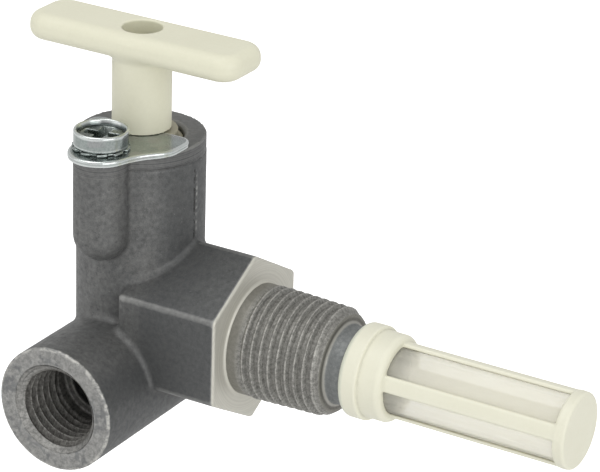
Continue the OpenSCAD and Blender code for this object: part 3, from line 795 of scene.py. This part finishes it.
def handle_field(x, y, z):
    """T-bar filleted into a round stem; under it the waist, the wide plug, relieved along its
    middle, and the quarter stop. The seal's groove, the blind hole in the top, the bent passage
    and the disc's pocket are taken out."""
    relief, relief_start, relief_end, play = 0.5, 4.2, 17.2, 0.05
    pocket_r, pocket_y = 3.4, -3.9
    r = np.hypot(x, y)
    stem = np.maximum(r - STEM_R, span(z, STEM_BASE, 42))
    waist = np.maximum(r - WAIST_R, span(z, 26.5, 29.5))
    relieved = relief * ((z > relief_start) & (z < relief_end))
    plug = meet(r - PLUG_R + relieved, span(z, PLUG_END, PLUG_TOP), 0.35)
    quarter = np.maximum(play - x, play - y)
    stop = np.maximum(np.maximum(r - STOP_R, quarter), span(z, 26.5, STOP_TOP))
    body = np.minimum(join(bar_field(x, y, z), stem, 0.9), waist)
    body = np.minimum(np.minimum(body, plug), stop)
    groove = np.maximum(GROOVE_R - r, np.abs(z - SEAL_Z) - 1.0)
    top_hole = np.maximum(r - TOP_HOLE_R, TOP_HOLE_FLOOR - z)
    sideways = np.maximum(np.hypot(y, z) - PASSAGE_R, -x)
    passage = np.minimum(sideways, np.maximum(r - PASSAGE_R, z))
    pocket = np.maximum(np.hypot(x, z) - pocket_r, y - pocket_y)
    for hole, rim in ((groove, 0.08), (top_hole, 0.3), (passage, 0.08), (pocket, 0.08)):
        body = cut(body, hole, rim)
    return body


# ---------------------------------------------------------------- fork plate, washer, screw

def arc(middle, r, start, end, count):
    """Points on a circle from one angle to another, in degrees."""
    a = np.radians(np.linspace(start, end, count))
    return np.stack([middle[0] + r * np.cos(a), middle[1] + r * np.sin(a)], 1)


def plate_outline():
    """Outer edge of the plate as arcs that run into each other, lobe, hollow waist, shoulder and
    prong end, then the same mirrored, all set a little to one side of the notch."""
    lobe, low, tip = np.array([0, BOSS_Y - 0.75]), np.array([3.7, -4.4]), np.array([6.9, -2.15])
    lobe_r, low_r, hollow_r, tip_r, aside = 4.95, 5.1, 11.5, 1.9, 0.4
    d = np.linalg.norm(low - lobe)
    e = (low - lobe) / d
    a = ((lobe_r + hollow_r) ** 2 - (low_r + hollow_r) ** 2 + d * d) / (2 * d)
    outward = np.array([e[1], -e[0]])
    hollow = lobe + a * e + math.sqrt((lobe_r + hollow_r) ** 2 - a * a) * outward
    turn = [math.degrees(math.atan2(*(c - hollow)[::-1])) for c in (lobe, low)]
    side = np.concatenate([arc(lobe, lobe_r, -90, turn[0] - 180, 28),
                           arc(hollow, hollow_r, turn[0], turn[1], 12)[1:],
                           arc(low, low_r, turn[1] - 180, 0, 16)[1:],
                           arc(tip, tip_r, 0, 90, 10)])
    return np.concatenate([side, side[::-1][:-1] * (-0.93, 1)]) + (aside, 0)


PLATE = plate_outline()


def plate_field(x, y, z):
    """Flat plate of the fork outline with its notch and the screw's hole, edges rounded as a
    stamping's are."""
    hole_r, notch_edge, top_edge, under_edge, hole_edge = 2.2, 0.25, 0.33, 0.12, 0.1
    flat = meet(polygon(PLATE, x, y), NOTCH_R - np.hypot(x, y), notch_edge)
    flat = meet(flat, z - PLATE_TOP, top_edge)
    flat = meet(flat, BARREL_TOP - z, under_edge)
    return cut(flat, np.hypot(x, y - BOSS_Y) - hole_r, hole_edge)


def washer():
    """Toothed lock washer: an outline (radius, height) carried round the screw. Each tooth reaches
    further out and is twisted, its height rising from one side to the other."""
    teeth, reach, thick, notch_from, twist = 10, 4.2, 0.42, 3.6, 0.3
    outline = np.array([(2.15, 0.0), (2.15, 0.4), (2.6, thick), (3.2, thick), (3.5, thick),
                        (reach, thick), (reach + 0.05, 0.25), (reach, 0.0), (3.5, 0.0),
                        (3.2, 0.0), (2.6, 0.0)])
    r, z, angle = spread(outline, 240)
    beat = (angle * teeth / (2 * math.pi)) % 1
    tooth = np.clip((0.34 - np.abs(beat - 0.5)) / 0.06, 0, 1)
    outer = np.clip((r - 3.2) / 0.9, 0, 1)
    r = r - (1 - tooth) * np.clip(r - notch_from, 0, 2) * 0.7
    z = z * (1 - 0.25 * outer) + outer * tooth * (beat - 0.5) * twist + outer * 0.05
    z = PLATE_TOP + np.clip(z, 0.01, WASHER_TOP - PLATE_TOP)
    p = np.stack([r * np.cos(angle), BOSS_Y + r * np.sin(angle), z], -1)
    put("toothed_washer", p, ring_faces(*r.shape)[:, ::-1], PLATED, "tap",
        ("lock_washer",))


def screw_field(x, y, z):
    """Pan head with a sunk top and a cross recess whose arms narrow downward, over a plain
    shank."""
    arm_long, arm_half, recess_floor, turned = 2.95, 0.85, 29.75, math.radians(10)
    y = y - BOSS_Y
    r = np.hypot(x, y)
    below_top = HEAD_TOP - z
    dish = np.maximum(r - DISH_R + below_top * 0.45, DISH_FLOOR - z)
    c, s = math.cos(turned), math.sin(turned)
    u, v = np.abs(x * c + y * s), np.abs(-x * s + y * c)
    narrow = below_top * 0.12
    arms = np.minimum(np.maximum(u - arm_long + narrow * 3, v - arm_half + narrow),
                      np.maximum(v - arm_long + narrow * 3, u - arm_half + narrow))
    head = meet(meet(r - HEAD_R, z - HEAD_TOP, 0.3), WASHER_TOP - z, 0.2)
    head = cut(head, dish, 0.12)
    head = cut(head, np.maximum(arms, recess_floor - z), 0.12)
    shank = meet(r - SHANK_R, span(z, 20.3, 29.8), 0.4)
    return np.minimum(head, shank)


# ---------------------------------------------------------------- strainer

def strainer_field(x, y, z):
    """Turned spigot and two bevelled collars, four ribs and an end cap, with the bore for the
    cloth tube and the fuel's way taken out."""
    slant, window_start, window_end, way_r = 0.707, 43.4, 71.6, 3.2
    r = np.hypot(y, z)
    bevel = (r - COLLAR_R + NOSE_END + 0.6 - x) * slant
    collar = meet(meet(r - COLLAR_R, bevel, 0.2), span(x, NOSE_END, COLLAR_END), 0.3)
    bevel = (r - STEP_R + x - STEP_END + 0.55) * slant
    step = meet(meet(r - STEP_R, bevel, 0.25), span(x, STEP_START, STEP_END), 0.2)
    spigot = meet(r - SPIGOT_R, span(x, SPIGOT_START, STEP_START), 0.4)
    cap = meet(r - CAP_R, span(x, CAP_START, TIP_X), 0.45)
    ribs = np.inf
    for k in range(4):
        a = math.radians(180 - RIB_TURN + 90 * k)
        across = np.abs(-y * math.sin(a) + z * math.cos(a)) - RIB_HALF
        inward = -(y * math.cos(a) + z * math.sin(a))
        ribs = np.minimum(ribs, meet(np.maximum(across, inward), r - RIB_R, 0.3))
    ribs = np.maximum(ribs, span(x, 43, 72))
    body = np.minimum(join(collar, step, 0.12), spigot)
    body = join(join(body, ribs, 0.25), cap, 0.2)
    bore = np.maximum(r - MESH_R, span(x, window_start, window_end))
    way = np.maximum(r - way_r - 1.3 * np.clip((x - 39.5) / 3, 0, 1), x - 44)
    return cut(cut(body, bore, 0.08), way, 0.1)


def cloth_tube():
    """Thin tube of filter cloth: an outline (x, radius) carried round, drawn in by a cosine
    between the four ribs, with the UV map in millimetres along it and round it."""
    start, end, inner, sag_depth, mean_r = 43.45, 71.55, 4.72, 0.06, 4.9
    outline = np.concatenate([along([(start, CLOTH_R), (end, CLOTH_R)], 0.35),
                              along([(end, inner), (start, inner)], 0.35)])
    x, r, angle = spread(outline, 160)
    sag = sag_depth * (1 - np.cos(4 * (angle - math.radians(RIB_TURN + 180)))) / 2
    r = r - sag * np.clip((x - STEP_END) / 2, 0, 1) * np.clip((CAP_START - x) / 2, 0, 1)
    p = np.stack([x, r * np.cos(angle), r * np.sin(angle)], -1)
    uv = np.stack([x, np.broadcast_to(angle * mean_r, x.shape)], -1)
    put("cloth_tube", p, ring_faces(*x.shape)[:, ::-1], CLOTH, "tap",
        ("strainer_mesh",), uv=uv)


# ---------------------------------------------------------------- the pieces

from_field("cast_body", body_field, (-10.5, -23.2, -18.6), (21.9, 12.4, 28.9),
           0.31, CAST, "tap", ("body",))
tank_thread()
outlet_thread()
from_field("t_handle", handle_field, (-18.5, -7.2, -4.6), (19.1, 7.2, 44.9),
           0.2, CREAM, "plug", ("handle",))
from_field("retaining_plate", plate_field, (-9.8, -16.4, 27.6), (9.8, 0.2, 29.1), 0.1,
           PLATED, "tap", ("fork_plate",))
washer()
from_field("pan_screw", screw_field, (-4.6, -15.0, 19.9), (4.6, -5.8, 32.1), 0.13,
           PLATED, "tap", ("screw",))
from_field("strainer_cage", strainer_field, (31.3, -7.5, -7.5), (73.3, 7.5, 7.5), 0.22,
           IVORY, "tap", ("strainer_frame",))
cloth_tube()
for node in ("stem_seal", "closing_seal"):
    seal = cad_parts[node]
    seal.data.materials.clear()
    seal.data.materials.append(RUBBER)


# ---------------------------------------------------------------- camera, light and floor

def add_camera():
    """Camera of the photograph's picture: azimuth, height and roll in degrees, its distance in
    millimetres, the pixels in a millimetre, and the pixel where the plug's axis meets the
    thread's."""
    azimuth, height, roll = (math.radians(v) for v in (30.039, 23.693, 1.867))
    distance, scale, centre_x, centre_y = 446.341, 6.715, 139.987, 304.931
    picture_x, picture_y, sensor = 600, 472, 36
    back = np.array([math.sin(azimuth) * math.cos(height),
                     -math.cos(azimuth) * math.cos(height), math.sin(height)])
    level = np.array([math.cos(azimuth), math.sin(azimuth), 0.0])
    upward = np.cross(back, level)
    right = math.cos(roll) * level + math.sin(roll) * upward
    up = -math.sin(roll) * level + math.cos(roll) * upward
    aside = up * (centre_y - picture_y / 2) - right * (centre_x - picture_x / 2)
    at = (back * distance + aside / scale - ROW_SHIFT) / 1000
    data = bpy.data.cameras.new("camera")
    data.sensor_width = sensor
    data.lens = sensor * scale * distance / picture_x
    data.clip_start, data.clip_end = 0.01, 20
    camera = add_object("camera", data)
    rows = [[right[i], up[i], back[i], at[i]] for i in range(3)]
    camera.matrix_world = Matrix([*rows, [0, 0, 0, 1]])
    bpy.context.scene.camera = camera


def add_light(name, at, power):
    """A square area light at a point in metres, aimed at the middle of the tap."""
    data = bpy.data.lights.new(name, "AREA")
    data.shape, data.size, data.energy = "SQUARE", 0.7, power
    light = add_object(name, data)
    light.location = at
    aim = Vector((-0.01, 0.0, 0.01)) - light.location
    light.rotation_euler = aim.to_track_quat("-Z", "Y").to_euler()


def add_floor():
    """Plain pale floor under the tap, lit up a little where the camera sees it so that it stays
    white round the shadow."""
    half, z = 3.0, -0.060
    corners = [(-half, -half, z), (half, -half, z), (half, half, z), (-half, half, z)]
    mesh = bpy.data.meshes.new("floor")
    mesh.from_pydata(corners, [], [(0, 1, 2, 3)])
    floor = add_object("floor", mesh)
    m, t, shader = new_material("pale floor", Roughness=1.0, Specular_IOR_Level=0.0,
                                Emission_Color=(1, 1, 1, 1))
    clouds = noise(t, t.nodes.new("ShaderNodeTexCoord").outputs["Object"], 3.0)
    tone = mix(t, clouds, (0.90, 0.90, 0.90), (0.92, 0.92, 0.92))
    seen = t.nodes.new("ShaderNodeLightPath").outputs["Is Camera Ray"]
    t.links.new(tone, shader.inputs["Base Color"])
    t.links.new(times(t, seen, 0.6), shader.inputs["Emission Strength"])
    mesh.materials.append(m)


def add_world():
    """Even white surroundings: full white where the camera sees them, softer as a light."""
    soft = 0.64
    world = bpy.data.worlds.new("studio")
    bpy.context.scene.world = world
    world.use_nodes = True
    t = world.node_tree
    seen = t.nodes.new("ShaderNodeLightPath").outputs["Is Camera Ray"]
    background = t.nodes["Background"]
    background.inputs["Color"].default_value = (1, 1, 1, 1)
    strength = maths(t, "MULTIPLY_ADD", seen, 1.0 - soft, soft)
    t.links.new(strength, background.inputs["Strength"])


add_camera()
add_floor()
add_world()
add_light("key", (-0.20, -0.25, 0.80), 2.5)
add_light("fill", (0.75, -0.40, 0.22), 2.5)
add_light("left", (-0.60, -0.65, 0.16), 0.75)
bpy.context.scene.view_settings.view_transform = "Standard"
